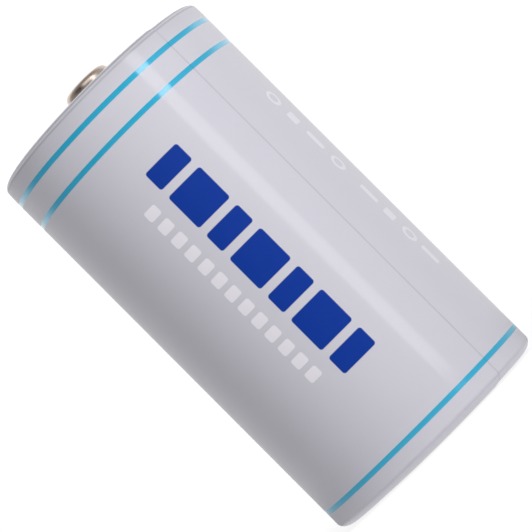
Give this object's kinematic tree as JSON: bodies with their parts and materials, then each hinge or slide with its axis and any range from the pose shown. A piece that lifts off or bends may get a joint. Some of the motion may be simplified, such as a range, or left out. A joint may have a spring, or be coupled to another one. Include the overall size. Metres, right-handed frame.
{
  "type": "cylindrical battery cell",
  "caption": "Round battery cell in a printed film, with a raised positive button, a flat negative base, and a lithium-ion cell and voltage regulator board inside.",
  "frame": {"origin": "centre of the negative contact face, which the cell stands on", "axes": "+Z along the cell's axis, towards the positive terminal; -Y is the front, where the label's main graphic is"},
  "size_m": [0.026, 0.026, 0.0495],
  "materials": {
    "printed_film": "satin pearl film with metallic blue print",
    "nickel_plated_steel": "bright nickel plating",
    "white_plastic": "moulded, fine matte",
    "fish_paper": "pressed insulating paper",
    "nylon_seal": "translucent off-white nylon",
    "black_plastic": "moulded, fine matte",
    "foam": "closed-cell foam",
    "circuit_board": "green solder mask over glass laminate",
    "ferrite": "fired, dull dark grey",
    "copper_winding": "enamelled copper wire",
    "chip_package": "moulded epoxy",
    "ceramic_capacitor": "fired body with tinned ends",
    "chip_resistor": "black glaze with tinned ends",
    "nickel_strip": "rolled nickel strip",
    "blue_sleeve": "shrunk plastic sleeve",
    "aluminium_foil": "bright rolled",
    "cathode_coating": "black coating on aluminium foil",
    "anode_coating": "graphite coating on copper foil",
    "separator_film": "white microporous film",
    "ptc_polymer": "carbon-filled polymer"
  },
  "bodies": {
    "root": {"label_film": "printed_film", "outer_can": "nickel_plated_steel", "insulating_washer": "fish_paper", "end_cap_gasket": "nylon_seal", "end_cap": "white_plastic", "positive_terminal": "nickel_plated_steel", "ground_ring": "nickel_strip", "cell_carrier": "black_plastic", "bottom_foam_pad": "foam", "negative_strip": "nickel_strip", "regulator_board": "circuit_board", "inductor_core": "ferrite", "inductor_winding": "copper_winding", "inductor_shield": "ferrite", "inductor_terminal_left": "nickel_strip", "inductor_terminal_right": "nickel_strip", "buck_converter_chip": "chip_package", "protection_chip": "chip_package", "power_transistor": "chip_package", "input_capacitor_1": "ceramic_capacitor", "input_capacitor_2": "ceramic_capacitor", "output_capacitor_1": "ceramic_capacitor", "output_capacitor_2": "ceramic_capacitor", "feedback_resistor_1": "chip_resistor", "feedback_resistor_2": "chip_resistor", "sense_resistor": "chip_resistor", "positive_strip": "nickel_strip", "board_insulator": "fish_paper", "inner_cell_sleeve": "blue_sleeve", "inner_cell_can": "nickel_plated_steel", "inner_cell_washer": "fish_paper", "inner_cell_gasket": "nylon_seal", "inner_cell_cap": "nickel_plated_steel", "ptc_ring": "ptc_polymer", "burst_disc": "aluminium_foil", "breaker_insulator": "nylon_seal", "breaker_plate": "aluminium_foil", "cathode_tab": "aluminium_foil", "upper_insulator": "separator_film", "separator_inner": "separator_film", "anode_sheet": "anode_coating", "separator_outer": "separator_film", "cathode_sheet": "cathode_coating", "centre_pin": "nickel_plated_steel", "anode_tab": "nickel_strip", "lower_insulator": "separator_film"}
  },
  "joints": []
}
